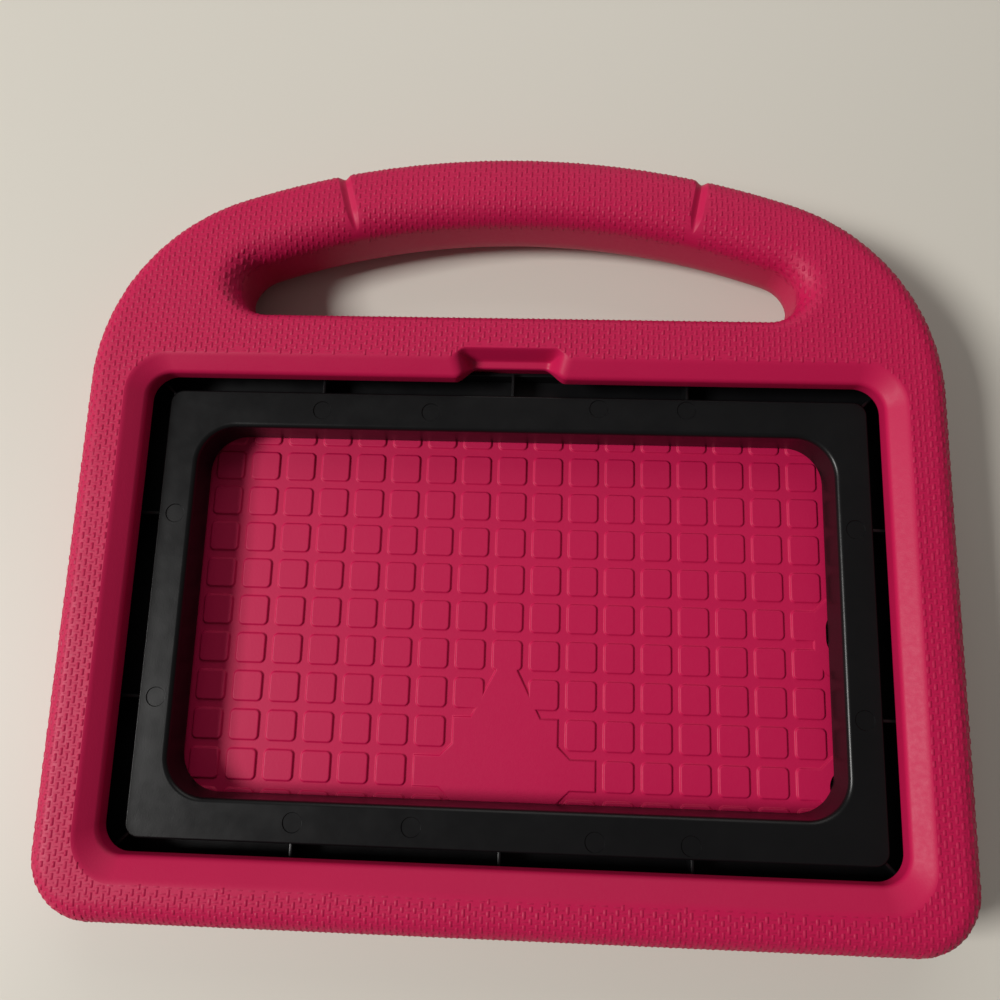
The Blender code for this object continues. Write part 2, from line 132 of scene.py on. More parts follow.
# %% Helpers for solids
CURVE_WELD, CUT_WELD = 0.01, 0.005
OVERCUT = 2.0


def mesh_object(bm, name):
    """Puts a bmesh into the scene as an object, with its faces looking outwards."""
    bmesh.ops.recalc_face_normals(bm, faces=bm.faces[:])
    mesh = bpy.data.meshes.new(name)
    bm.to_mesh(mesh)
    bm.free()
    obj = bpy.data.objects.new(name, mesh)
    bpy.context.scene.collection.objects.link(obj)
    return obj


def slab(name, loops, z0, z1, edge=0.0, roundness=6):
    """A flat solid between two heights; edge is the radius of its rims."""
    curve = bpy.data.curves.new(name, "CURVE")
    curve.dimensions = "2D"
    curve.fill_mode = "BOTH"
    curve.extrude = ((z1 - z0) / 2 - edge) * MM
    curve.bevel_depth = edge * MM
    curve.bevel_resolution = roundness
    for loop in loops:
        spline = curve.splines.new("POLY")
        spline.points.add(len(loop) - 1)
        for point, (x, y) in zip(spline.points, loop):
            point.co = (x * MM, y * MM, 0.0, 1.0)
        spline.use_cyclic_u = True
    holder = bpy.data.objects.new(name, curve)
    bpy.context.scene.collection.objects.link(holder)
    bpy.context.view_layer.update()
    evaluated = holder.evaluated_get(bpy.context.evaluated_depsgraph_get())
    bm = bmesh.new()
    bm.from_mesh(evaluated.to_mesh())
    evaluated.to_mesh_clear()
    bpy.data.objects.remove(holder, do_unlink=True)
    bmesh.ops.remove_doubles(bm, verts=bm.verts[:], dist=CURVE_WELD * MM)
    bmesh.ops.translate(bm, verts=bm.verts[:], vec=(0.0, 0.0, (z0 + z1) / 2 * MM))
    return mesh_object(bm, name)


def add_loft(bm, rings, ring_shaped=False):
    """Adds a skin through rings of (x, y, z) points: a closed stack, or a ring like a tyre."""
    layers = [[bm.verts.new((x * MM, y * MM, z * MM)) for x, y, z in ring] for ring in rings]
    count = len(layers[0])
    pairs = list(zip(layers, layers[1:]))
    if ring_shaped:
        pairs.append((layers[-1], layers[0]))
    for low, high in pairs:
        for k in range(count):
            nxt = (k + 1) % count
            bm.faces.new((low[k], low[nxt], high[nxt], high[k]))
    if not ring_shaped:
        bm.faces.new(list(reversed(layers[0])))
        bm.faces.new(layers[-1])


def loft(name, rings, ring_shaped=False):
    bm = bmesh.new()
    add_loft(bm, rings, ring_shaped)
    return mesh_object(bm, name)


def at_height(path, z):
    return [(x, y, z) for x, y in path]


def carve(obj, tool, operation="DIFFERENCE"):
    """Cuts a tool away from a piece, or joins it, and removes the tool."""
    mod = obj.modifiers.new("carve", "BOOLEAN")
    mod.operation = operation
    mod.solver = "EXACT"
    mod.object = tool
    bpy.context.view_layer.update()
    evaluated = obj.evaluated_get(bpy.context.evaluated_depsgraph_get())
    mesh = bpy.data.meshes.new_from_object(evaluated)
    obj.modifiers.remove(mod)
    old = obj.data
    obj.data = mesh
    bpy.data.meshes.remove(old)
    bpy.data.objects.remove(tool, do_unlink=True)
    bm = bmesh.new()
    bm.from_mesh(mesh)
    bmesh.ops.remove_doubles(bm, verts=bm.verts[:], dist=CUT_WELD * MM)
    bm.to_mesh(mesh)
    bm.free()


print("slab, loft and carve are ready")

# %% [markdown]
# The foam body. Its outline is an arch: straight sides, small corners at the bottom, round shoulders
# and one long flat arc over the handle. A box with a Bevel modifier could give the rims too, but the
# flat curve keeps one radius all along the arcs. The woven pattern will stand WEAVE_H proud of the
# foam, so the body itself starts that much smaller, and both together fill the CAD solid.

# %% Foam body with its rounded rim
TOP_R, SHOULDER_R, BOTTOM_R = 197.9, 50.2, 14.1
EDGE_R = 5.5
WEAVE_H = 0.25
FACE_Z = THICK - WEAVE_H
RIM_R = EDGE_R - WEAVE_H
REACH = HALF_W - SHOULDER_R
TOP_CY = HALF_H - TOP_R
SHOULDER_CY = TOP_CY + math.sqrt((TOP_R - SHOULDER_R) ** 2 - REACH ** 2)
JOIN = 90 - math.degrees(math.asin(REACH / (TOP_R - SHOULDER_R)))


def arch(inset):
    """Outline of the shell, moved inwards."""
    half = arc(HALF_W - BOTTOM_R, BOTTOM_R - HALF_H, BOTTOM_R - inset, -90, 0, steps=12)
    half += arc(REACH, SHOULDER_CY, SHOULDER_R - inset, 0, JOIN, steps=24)
    half += arc(0, TOP_CY, TOP_R - inset, JOIN, 90, steps=22)[1:]
    return mirrored(half)


shell = slab("shell", [arch(EDGE_R)], 0, FACE_Z, edge=RIM_R)
print("body faces:", len(shell.data.polygons))

# %% [markdown]
# The handle slot. A hand goes through it, so its edges are round: small rims on the bridge side and
# large ones under the handle, where the fingers press. A slab would cut the same rim all round, so
# the cutter is a stack of rings that widen towards the front and the back, and how far they widen
# depends on which way the wall faces.

# %% Slot under the handle
HANDLE_W = 16.9
SLOT_END_WALL = 33.4
BAY_CLEAR_Y = 0.5
BRIDGE_W = 10.25
SLOT_HALF_W = HALF_W - SLOT_END_WALL
SLOT_BOTTOM_Y = BAY_Y + INSERT_H / 2 + BAY_CLEAR_Y + BRIDGE_W
FRONT_R_BRIDGE, FRONT_R_HANDLE = 2.5, 6.0
BACK_R_BRIDGE, BACK_R_HANDLE = 4.0, 11.0
BRIDGE_STEPS = 12


def slot_path():
    """Straight along the bridge, round the ends, and back in arcs that run beside the outline."""
    shoulder = SHOULDER_R - HANDLE_W
    side, rise = SLOT_HALF_W - REACH, SLOT_BOTTOM_Y - SHOULDER_CY
    span = rise + shoulder - side
    end_r = math.sqrt(span ** 2 + shoulder ** 2 - side ** 2 - rise ** 2) - span
    end_x, end_y = SLOT_HALF_W - end_r, SLOT_BOTTOM_Y + end_r
    meet = math.degrees(math.atan2(end_y - SHOULDER_CY, end_x - REACH))
    half = [(end_x * k / BRIDGE_STEPS, SLOT_BOTTOM_Y) for k in range(BRIDGE_STEPS)]
    half += arc(end_x, end_y, end_r, -90, meet, steps=18, skip_last=True)
    half += arc(REACH, SHOULDER_CY, shoulder, meet, JOIN, steps=8, skip_last=True)
    half += arc(0, TOP_CY, TOP_R - HANDLE_W, JOIN, 90, steps=24)
    return [(x + INNER_X, y) for x, y in mirrored(half)]


def outward(path):
    """Unit vectors that point out of a path drawn counter-clockwise."""
    found = []
    for k in range(len(path)):
        (x0, y0), (x1, y1) = path[k - 1], path[(k + 1) % len(path)]
        length = math.hypot(x1 - x0, y1 - y0)
        found.append(((y1 - y0) / length, (x0 - x1) / length))
    return found


def rim_radii(directions, bridge_r, handle_r):
    """Radius of the rim at each point of the slot, by the way the wall looks."""
    return [bridge_r + (handle_r - bridge_r) * min(1.0, 1.0 + ny) for _, ny in directions]


slot = slot_path()
slot_out = outward(slot)
front_radii = rim_radii(slot_out, FRONT_R_BRIDGE, FRONT_R_HANDLE)
back_radii = rim_radii(slot_out, BACK_R_BRIDGE, BACK_R_HANDLE)


def slot_rings(level, side, radii, steps=9):
    """Rings that open as a quarter round towards a face, and one more beyond that face."""
    fan = []
    for k in range(steps + 1):
        turn = math.radians(90 * k / steps)
        fan.append([(x + nx * r * (1 - math.cos(turn)), y + ny * r * (1 - math.cos(turn)),
                     level - side * r * (1 - math.sin(turn)))
                    for (x, y), (nx, ny), r in zip(slot, slot_out, radii)])
    fan.append([(x, y, level + side * OVERCUT) for x, y, _ in fan[-1]])
    return fan


rings = list(reversed(slot_rings(0.0, -1, back_radii))) + slot_rings(FACE_Z, 1, front_radii)
carve(shell, loft("slot_tool", rings))
print("slot is", round(2 * SLOT_HALF_W, 1), "mm long")

# %% [markdown]
# Two shallow creases cross the handle, where the grip begins and ends. Foam can't hold a sharp line,
# so the crease has a soft section, partly a plain V and partly a smooth wave. A groove cut straight
# through would leave the rims sharp. Here the cutter is a block with a waisted core taken out of it,
# and what the core fills is what stays of the handle. Each crease is given as its side, its distance
# from the middle and its lean in degrees.

# %% Creases across the handle
CREASES = ((-1, 43.0, 15.0), (1, 44.3, 10.5))
CREASE_W, CREASE_DEPTH = 3.9, 0.88
CREASE_BARE_W = 3.4
CREASE_CLEAR, CREASE_RUN_OUT = 0.15, 1.0
CREASE_STEPS = 14
V_SHARE = 0.45
WALL_CLEAR = 0.3
FRONT_STEPS, BACK_STEPS = 10, 8


def crease_line(sign, from_middle, lean_degrees):
    """Where a crease starts on the outline, the way up along it and the way across it."""
    x = INNER_X + sign * from_middle
    y = TOP_CY + math.sqrt((TOP_R - WEAVE_H) ** 2 - x ** 2)
    lean = math.radians(lean_degrees)
    up = (sign * math.sin(lean), math.cos(lean))
    return (x, y), up, (up[1], -up[0])


def grip_section(depth):
    """Section of the handle, moved inwards at the top, the front and the back, but not at the slot."""
    wall = -HANDLE_W - WALL_CLEAR
    back_y, front_z = BACK_R_HANDLE - depth, FACE_Z - FRONT_R_HANDLE
    path = arc(-RIM_R, RIM_R, RIM_R - depth, -90, 0, BACK_STEPS)
    path += arc(-RIM_R, FACE_Z - RIM_R, RIM_R - depth, 0, 90, FRONT_STEPS)
    for k in range(FRONT_STEPS + 1):
        turn = math.radians(90 + 90 * k / FRONT_STEPS)
        path.append((wall + FRONT_R_HANDLE * (1 + math.cos(turn)),
                     front_z + (FRONT_R_HANDLE - depth) * math.sin(turn)))
    for k in range(BACK_STEPS + 1):
        turn = math.radians(180 + 90 * k / BACK_STEPS)
        path.append((wall + BACK_R_HANDLE * (1 + math.cos(turn)), BACK_R_HANDLE + back_y * math.sin(turn)))
    return path


def crease_tool(sign, from_middle, lean_degrees):
    """What a crease takes away: a block across the handle, without its waisted core."""
    start, up, across = crease_line(sign, from_middle, lean_degrees)

    def place(path, shift):
        """A section of the handle, set upright on the crease's line and moved across it."""
        return [(start[0] + up[0] * u + across[0] * shift, start[1] + up[1] * u + across[1] * shift, z)
                for u, z in path]

    half = CREASE_W / 2
    core_rings = [place(grip_section(-CREASE_CLEAR), -half - CREASE_RUN_OUT)]
    for k in range(CREASE_STEPS + 1):
        part = -1 + 2 * k / CREASE_STEPS
        soft = V_SHARE * (1 - abs(part)) + (1 - V_SHARE) * smooth_step(1 - abs(part))
        depth = CREASE_DEPTH * soft - CREASE_CLEAR * (1 - soft)
        core_rings.append(place(grip_section(depth), part * half))
    core_rings.append(place(grip_section(-CREASE_CLEAR), half + CREASE_RUN_OUT))
    block = rounded_rect(-HANDLE_W / 2, FACE_Z / 2, HANDLE_W + 2 * OVERCUT, FACE_Z + 2 * OVERCUT, OVERCUT,
                         steps=4)
    tool = loft("crease_tool", [place(block, -half), place(block, half)])
    carve(tool, loft("crease_core", core_rings))
    return tool


for crease in CREASES:
    carve(shell, crease_tool(*crease))
print("faces with creases:", len(shell.data.polygons))

# %% [markdown]
# The tablet bay is a plain box under the lip. The window above it is one loft: each ring is a mix of
# the lip's outline and the front outline, and a list of mixes and heights above the lip's underside
# draws the section. It comes up round the lip's lower edge, along its upright wall, over a round turn
# and along the ramp to the front face. In the middle of the top edge there is a notch, and there the
# section has a small ledge and a steeper ramp. Two box cutters would be quicker, but they leave a step
# where the foam has one flowing surface.

# %% Bay and window
BAY_CLEAR_X, BAY_CLEAR_Z = 1.1, 0.4
FLOOR_Z = 5.5
SQUARE_H = 0.46
BAY_W, BAY_H, BAY_R = INSERT_W + 2 * BAY_CLEAR_X, INSERT_H + 2 * BAY_CLEAR_Y, 7.0
LIP_UNDER_Z = INSERT_TOP_Z + BAY_CLEAR_Z
LIP_SIDE, LIP_ABOVE, LIP_BELOW, LIP_R = 10.0, 4.2, 4.45, 6.0
RAMP_SIDE, RAMP_ABOVE, RAMP_BELOW, RAMP_R = 4.0, 4.05, 5.0, 9.5
NOTCH_FLAT, NOTCH_FOOT, NOTCH_DEPTH = 7.9, 12.9, 3.35
FRONT_NOTCH_FLAT, FRONT_NOTCH_FOOT, FRONT_NOTCH_DEPTH = 10.2, 14.2, 2.5
NOTCH_STEPS, NOTCH_SPREAD = 56, 1.25
LIP_HALF_W = BAY_W / 2 - LIP_SIDE
LIP_TOP_Y, LIP_BOTTOM_Y = BAY_Y + BAY_H / 2 - LIP_ABOVE, BAY_Y - BAY_H / 2 + LIP_BELOW


def notched(half_w, top, bottom, radius, flat, foot, depth):
    """Rounded rectangle with a soft notch in the middle of its upper side."""
    path = rounded_rect(0, (top + bottom) / 2, 2 * half_w, top - bottom, radius, steps=12)
    reach = foot * NOTCH_SPREAD
    notch = []
    for k in range(NOTCH_STEPS + 1):
        x = reach * (1 - 2 * k / NOTCH_STEPS)
        notch.append((x, top + depth * smooth_step((foot - abs(x)) / (foot - flat))))
    half = len(path) // 2
    return path[:half] + notch + path[half:]


lip_line = notched(LIP_HALF_W, LIP_TOP_Y, LIP_BOTTOM_Y, LIP_R, NOTCH_FLAT, NOTCH_FOOT, NOTCH_DEPTH)
ramp_line = notched(LIP_HALF_W + RAMP_SIDE, LIP_TOP_Y + RAMP_ABOVE, LIP_BOTTOM_Y - RAMP_BELOW, RAMP_R,
                    FRONT_NOTCH_FLAT, FRONT_NOTCH_FOOT, FRONT_NOTCH_DEPTH)
print("the lip's outline has", len(lip_line), "points")

# %% Section of the lip and the ramp
PLAIN_SECTION = [(0.23, -2.0), (0.23, 0.02), (0.1, 0.16), (0.03, 0.5), (0.0, 1.0), (0.0, 3.6),
                 (0.012, 3.99), (0.047, 4.35), (0.103, 4.67), (0.176, 4.93), (0.5, 5.81), (0.825, 6.68),
                 (0.9, 6.86), (0.962, 6.99), (1.012, 7.075), (1.062, 7.14), (1.12, 7.21), (1.12, 9.2)]
NOTCH_SECTION = [(0.12, -2.0), (0.12, 0.02), (0.05, 0.1), (0.01, 0.3), (0.0, 0.6), (0.0, 1.05),
                 (0.015, 1.3), (0.05, 1.5), (0.11, 1.62), (0.25, 1.72), (0.43, 1.84), (0.5, 2.1),
                 (0.56, 2.7), (0.65, 3.8), (0.86, 6.3), (0.95, 7.0), (1.05, 7.21), (1.05, 9.2)]
NOTCH_BLEND_INSET, NOTCH_BLEND = 1.4, 3.0


def window_rings():
    """A ring for each height of the section, which turns into the notch's own section in the notch."""
    blend_end = NOTCH_FOOT - NOTCH_BLEND_INSET
    weights = [smooth_step((blend_end - abs(x)) / NOTCH_BLEND) if y > LIP_TOP_Y else 0.0
               for x, y in lip_line]
    plain = [(mix, LIP_UNDER_Z + rise) for mix, rise in PLAIN_SECTION]
    special = [(mix, LIP_UNDER_Z + rise) for mix, rise in NOTCH_SECTION]
    rings = []
    for (mix0, z0), (mix1, z1) in zip(plain, special):
        ring = []
        for (x0, y0), (x1, y1), w in zip(lip_line, ramp_line, weights):
            mix, z = mix0 + (mix1 - mix0) * w, z0 + (z1 - z0) * w
            ring.append((x0 + (x1 - x0) * mix, y0 + (y1 - y0) * mix, z))
        rings.append(ring)
    return rings


carve(shell, slab("bay_tool", [rounded_rect(0, BAY_Y, BAY_W, BAY_H, BAY_R)], FLOOR_Z, LIP_UNDER_Z))
carve(shell, loft("window_tool", window_rings()))
print("window", round(2 * LIP_HALF_W, 1), "x", round(LIP_TOP_Y - LIP_BOTTOM_Y, 1), "mm")

# %% [markdown]
# The floor carries a pattern of raised squares that grip the back of the tablet. In the tool each one
# is a shallow pocket with rounded corners, so every square has a soft rim and a small fillet at its
# foot. One loft makes a square, and the rows and columns are a loop. Low in the middle the squares
# give way to a bare plate, and at the right-hand end to two islands round the holes in the floor.

# %% Raised squares, plate and islands
PITCH_X, PITCH_Y = 8.75, 8.9
SQUARE_W, SQUARE_CORNER = 7.0, 1.1
GRID_DROP = 0.42
GRID_Y = BAY_Y - GRID_DROP
LAST_COLUMN, LAST_ROW = 9, 5
TIP_HALF_W, TIP_OVERLAP, NECK_HALF_W, PLATE_CHAMFER = 2.6, 1.0, 8.1, 2.8
ISLAND_GAP, ISLAND_W, ISLAND_CHAMFER = 3.3, 19.8, 3.2
ISLAND_X = BAY_W / 2 - ISLAND_GAP - ISLAND_W / 2
UPPER_ISLAND_H, UPPER_ISLAND_DROP = 17.8, 2.95
LOWER_ISLAND_H, LOWER_ISLAND_DROP = 12.9, 36.2
PAD_SECTION = [(-0.2, -0.5), (-0.2, 0.02), (-0.07, 0.06), (0.03, 0.17), (0.1, 0.3), (0.18, 0.4),
               (0.3, 0.445), (0.46, SQUARE_H)]


def column_x(column):
    return INNER_X + column * PITCH_X


def row_y(row):
    return GRID_Y - row * PITCH_Y


def inset_path(path, distance):
    """Moves every side of a closed path, drawn counter-clockwise, inwards by the same distance."""
    moved = []
    for k in range(len(path)):
        (x0, y0), (x1, y1), (x2, y2) = path[k - 1], path[k], path[(k + 1) % len(path)]
        first, second = math.hypot(x1 - x0, y1 - y0), math.hypot(x2 - x1, y2 - y1)
        ax, ay = (y0 - y1) / first, (x1 - x0) / first
        bx, by = (y1 - y2) / second, (x2 - x1) / second
        mitre = distance / (1 + ax * bx + ay * by)
        moved.append((x1 + (ax + bx) * mitre, y1 + (ay + by) * mitre))
    return moved


def plate_path():
    """The bare plate: three rows of the grid high, with a neck and a tip into the square above it."""
    half, middle = SQUARE_W / 2, column_x(0)
    narrow, wide = PITCH_X + half, 2 * PITCH_X + half
    tip, upper, lower = row_y(1) - half, row_y(3) + half, row_y(4) + half
    sole, foot = row_y(4) - half, row_y(5) - half
    side = [(narrow, foot), (narrow, sole - PLATE_CHAMFER), (narrow + PLATE_CHAMFER, sole),
            (wide, sole), (wide, lower), (narrow + PLATE_CHAMFER, lower),
            (narrow, lower + PLATE_CHAMFER), (narrow, upper), (NECK_HALF_W, upper),
            (TIP_HALF_W, tip), (TIP_HALF_W, tip + TIP_OVERLAP)]
    return [(middle + x, y) for x, y in mirrored(side)]


def island_path(height, drop):
    """A smooth island at the right-hand end, chamfered where it meets the squares."""
    cy = BAY_Y - drop
    left, right = ISLAND_X - ISLAND_W / 2, ISLAND_X + ISLAND_W / 2
    top, bottom = cy + height / 2, cy - height / 2
    return [(left, bottom + ISLAND_CHAMFER), (left + ISLAND_CHAMFER, bottom), (right, bottom),
            (right, top), (left + ISLAND_CHAMFER, top), (left, top - ISLAND_CHAMFER)]


def pads(name, paths):
    """Raised pads with soft rims, one on each path, as one mesh."""
    bm = bmesh.new()
    for path in paths:
        add_loft(bm, [at_height(inset_path(path, inset), FLOOR_Z + rise) for inset, rise in PAD_SECTION])
    return mesh_object(bm, name)


under_plate = {(-1, 3), (0, 3), (1, 3), (-2, 4), (-1, 4), (0, 4), (1, 4), (2, 4), (-1, 5), (0, 5), (1, 5)}
under_islands = {(9, 0), (9, 1), (9, 4)}
squares = [rounded_rect(column_x(c), row_y(r), SQUARE_W, SQUARE_W, SQUARE_CORNER, steps=4)
           for c in range(-LAST_COLUMN, LAST_COLUMN + 1) for r in range(-LAST_ROW, LAST_ROW + 1)
           if (c, r) not in under_plate | under_islands]
plates = [plate_path(), island_path(UPPER_ISLAND_H, UPPER_ISLAND_DROP),
          island_path(LOWER_ISLAND_H, LOWER_ISLAND_DROP)]
carve(shell, pads("plates", plates), "UNION")
carve(shell, pads("squares", squares), "UNION")
print(len(squares), "squares on the floor")

# %% [markdown]
# Each island has a hole through the floor, an oblong one above and a round one below, which are taken
# to be openings for sound or for a camera. Their edges are crisp, so a plain slab cuts each of them
# and no loft is needed. A shift moves a hole away from its island's middle.

# %% Holes through the floor
OBLONG_W, OBLONG_H, OBLONG_R = 13.6, 10.6, 4.0
OBLONG_SHIFT = (-0.3, 0.8)
ROUND_R = 4.2
ROUND_SHIFT = (-3.4, -0.25)
oblong = rounded_rect(ISLAND_X + OBLONG_SHIFT[0], BAY_Y - UPPER_ISLAND_DROP + OBLONG_SHIFT[1], OBLONG_W,
                      OBLONG_H, OBLONG_R)
ring = arc(ISLAND_X + ROUND_SHIFT[0], BAY_Y - LOWER_ISLAND_DROP + ROUND_SHIFT[1], ROUND_R, 0, 360,
           steps=40, skip_last=True)
for path in (oblong, ring):
    carve(shell, slab("hole_tool", [path], -OVERCUT, FLOOR_Z + SQUARE_H + OVERCUT))
print("shell faces:", len(shell.data.polygons))

# %% [markdown]
# The emboss. The tool was engraved with short upright bars, where each column is moved half a step
# against the next, and faint cross threads lie between them, so the foam looks woven. It covers the
# front, rolls over every rounded rim and stops at the ramp. A picture of it wouldn't catch the light
# from the side, so each bar is real relief. The pattern is first laid out flat. Then every point is
# rolled round the rims by its distance past the flat part, and dropped onto the foam.

# %% Helpers that wrap flat points over the rims
STEP_X, STEP_Y = 1.25, 1.2
WRAP_PAST_RIM = 1.5


def nearest_on(path, points, chunk=20000):
    """For each point: the closest place on a closed path, and the segment and part where it is."""
    start = np.array(path)
    run = np.roll(start, -1, axis=0) - start
    squared = (run ** 2).sum(1)
    place, index, part = np.empty_like(points), np.empty(len(points), int), np.empty(len(points))
    for first in range(0, len(points), chunk):
        p = points[first:first + chunk]
        t = np.clip(((p[:, None] - start) * run).sum(2) / squared, 0, 1)
        closest = start + t[..., None] * run
        best = ((closest - p[:, None]) ** 2).sum(2).argmin(1)
        rows = np.arange(len(p))
        place[first:first + chunk] = closest[rows, best]
        index[first:first + chunk] = best
        part[first:first + chunk] = t[rows, best]
    return place, index, part


def signed(path, points):
    """How far each point lies outside a path, its closest place there, and the way out."""
    place, index, part = nearest_on(path, points)
    normals = np.array(outward(path))
    nxt = (index + 1) % len(path)
    normal = normals[index] * (1 - part)[:, None] + normals[nxt] * part[:, None]
    normal /= np.linalg.norm(normal, axis=1)[:, None]
    gap = points - place
    distance = np.linalg.norm(gap, axis=1)
    side = np.where((gap * normal).sum(1) >= 0, 1.0, -1.0)
    return distance * side, place, normal, index


def roll(place, direction, radius, distance, top_z):
    """Points and normals on a rim of that radius, each a distance past the flat part."""
    turn = np.minimum(distance / radius, math.pi / 2)
    drop = distance - turn * radius
    flat = place + direction * (radius * np.sin(turn))[:, None]
    z = top_z - radius * (1 - np.cos(turn)) - drop
    normal = np.column_stack([direction * np.sin(turn)[:, None], np.cos(turn)])
    return np.column_stack([flat, z]), normal, drop


rim_line = arch(EDGE_R)
slot_line = [(x + nx * r, y + ny * r) for (x, y), (nx, ny), r in zip(slot, slot_out, front_radii)]
slot_radius = np.array(front_radii)


def wrap(points):
    """Flat points laid over the front, its rims and the slot's rim; says which of them hold."""
    spot = np.column_stack([points, np.full(len(points), FACE_Z)])
    normal = np.tile((0.0, 0.0, 1.0), (len(points), 1))
    keep = np.ones(len(points), bool)
    far, place, out, _ = signed(rim_line, points)
    over = far > 0
    spot[over], normal[over], drop = roll(place[over], out[over], RIM_R, far[over], FACE_Z)
    keep[over] = drop < WRAP_PAST_RIM
    far, place, out, index = signed(slot_line, points)
    over = far < 0
    radius = slot_radius[index[over]]
    spot[over], normal[over], drop = roll(place[over], -out[over], radius, -far[over], FACE_Z)
    keep[over] = drop < WRAP_PAST_RIM
    return spot, normal, keep


print("flat part of the front ends on a line of", len(rim_line), "points")

# %% [markdown]
# Bars and threads sit on the even and the odd spots of one grid. The grid is cut a little larger than
# the shell, because its rims are rolled out flat: a quarter turn round a rim is longer than the rim's
# radius. Both stop short of the creases, which are smooth.

# %% Spots for the bars and the threads
JITTER = 0.11
SPARE_X, SPARE_Y = 1.1, 1.15
BARE_PAST_SLOT, BARE_PAST_RIM = 4.0, 9.0
SEED = 11
dice = np.random.default_rng(SEED)


def near_crease(points):
    """True where a flat point lies in one of the handle's creases, which are smooth."""
    found = np.zeros(len(points), bool)
    for crease in CREASES:
        start, up, across = crease_line(*crease)
        gap = points - np.array(start)
        along, aside = gap @ np.array(up), gap @ np.array(across)
        inside = (along > -HANDLE_W - BARE_PAST_SLOT) & (along < BARE_PAST_RIM)
        found |= (np.abs(aside) < CREASE_BARE_W / 2) & inside
    return found


def centres_for(parity):
    """Every second spot of the grid, without those in the window, the slot and the creases."""
    columns, rows = int(SPARE_X * HALF_W / STEP_X), int(SPARE_Y * HALF_H / STEP_Y)
    spots = np.array([(i * STEP_X, j * STEP_Y) for i in range(-columns, columns + 1)
                      for j in range(-rows, rows + 1) if (i + j) % 2 == parity])
    quarter_more = math.pi / 2 - 1
    drop = signed(ramp_line, spots)[0] < -STEP_X / 2
    drop |= signed(slot, spots)[0] < -FRONT_R_HANDLE * quarter_more - WRAP_PAST_RIM
    drop |= signed(rim_line, spots)[0] > RIM_R * math.pi / 2 + WRAP_PAST_RIM
    drop |= near_crease(spots)
    spots = spots[~drop]
    return spots + dice.uniform(-JITTER, JITTER, spots.shape)


print("one spot for every", round(2 * STEP_X * STEP_Y, 2), "square mm")

# %% [markdown]
# Each patch is a small grid of points. One list gives places and heights across it and another along
# it, as shares of its size, and their product is the shape. Its edge is sunk a little into the foam,
# so no gap shows. Length and height vary from patch to patch, because foam doesn't fill every pocket
# of a tool alike, and the relief gets lower down the rims, where the tool has to slide off. A ray
# finds the foam under each point.

# %% Raise the bars and the threads out of the foam
SINK = 0.05
BAR_W, BAR_L, BAR_H = 0.86, 1.75, WEAVE_H
BAR_ACROSS = ((-0.5, 0.0), (-0.2, 0.86), (0.0, 1.0), (0.2, 0.86), (0.5, 0.0))
BAR_ALONG = ((-0.5, 0.0), (-0.34, 0.9), (0.34, 0.9), (0.5, 0.0))
THREAD_W, THREAD_L, THREAD_H = 1.6, 0.62, 0.05
THREAD_ACROSS = ((-0.5, 0.0), (-0.38, 0.9), (0.38, 0.9), (0.5, 0.0))
THREAD_ALONG = ((-0.5, 0.0), (-0.2, 0.9), (0.2, 0.9), (0.5, 0.0))
SHORTEST, LONGEST, LOWEST = 0.72, 1.08, 0.6
RIM_SHARE = 0.45
CUT_CLEAR, MOST_CUT = 0.06, 0.5
RAY_START, RAY_LENGTH = 1.5, 4.0


def relief(name, parity, across, along, size, height, tree):
    """One mesh with a small raised patch on every spot; a patch that meets the ramp ends at it."""
    local = np.array([(u * size[0], v * size[1]) for v, _ in along for u, _ in across])
    rise = np.array([a * b for _, a in along for _, b in across])
    n, per = len(across), len(local)
    faces = np.array([(r * n + c, r * n + c + 1, (r + 1) * n + c + 1, (r + 1) * n + c)
                      for r in range(len(along) - 1) for c in range(n - 1)])
    spots = centres_for(parity)
    stretch = np.ones((len(spots), 1, 2))
    stretch[:, 0, 1] = dice.uniform(SHORTEST, LONGEST, len(spots))
    points = (spots[:, None] + local * stretch).reshape(-1, 2)
    far, place, _, _ = signed(ramp_line, points)
    cut = far < CUT_CLEAR
    points[cut] = place[cut]
    spot, normal, keep = wrap(points)
    heights = np.repeat(dice.uniform(LOWEST, 1.0, len(spots)), per) * height
    shrink = RIM_SHARE + (1 - RIM_SHARE) * normal[:, 2]
    lift = np.tile(rise, len(spots)) * (heights * shrink + SINK) - SINK
    lift[cut] = -SINK
    whole = keep.reshape(-1, per).all(1) & (cut.reshape(-1, per).mean(1) < MOST_CUT)
    chosen = np.repeat(whole, per)
    verts = []
    for p, n_out, h in zip(spot[chosen], normal[chosen], lift[chosen]):
        out = Vector(n_out)
        hit = tree.ray_cast(Vector(p) * MM + out * RAY_START * MM, -out, RAY_LENGTH * MM)[0]
        verts.append((hit if hit is not None else Vector(p) * MM) + out * h * MM)
    all_faces = (faces[None] + (np.arange(whole.sum()) * per)[:, None, None]).reshape(-1, 4)
    mesh = bpy.data.meshes.new(name)
    mesh.from_pydata(verts, [], all_faces.tolist())
    mesh.polygons.foreach_set("use_smooth", [True] * len(mesh.polygons))
    obj = bpy.data.objects.new(name, mesh)
    bpy.context.scene.collection.objects.link(obj)
    print(name, int(whole.sum()), "patches,", 2 * len(all_faces), "triangles")
    return obj


bm = bmesh.new()
bm.from_mesh(shell.data)
foam_tree = BVHTree.FromBMesh(bm)
bm.free()
weave_bars = relief("weave_bars", 0, BAR_ACROSS, BAR_ALONG, (BAR_W, BAR_L), BAR_H, foam_tree)
weave_threads = relief("weave_threads", 1, THREAD_ACROSS, THREAD_ALONG, (THREAD_W, THREAD_L), THREAD_H,
                       foam_tree)

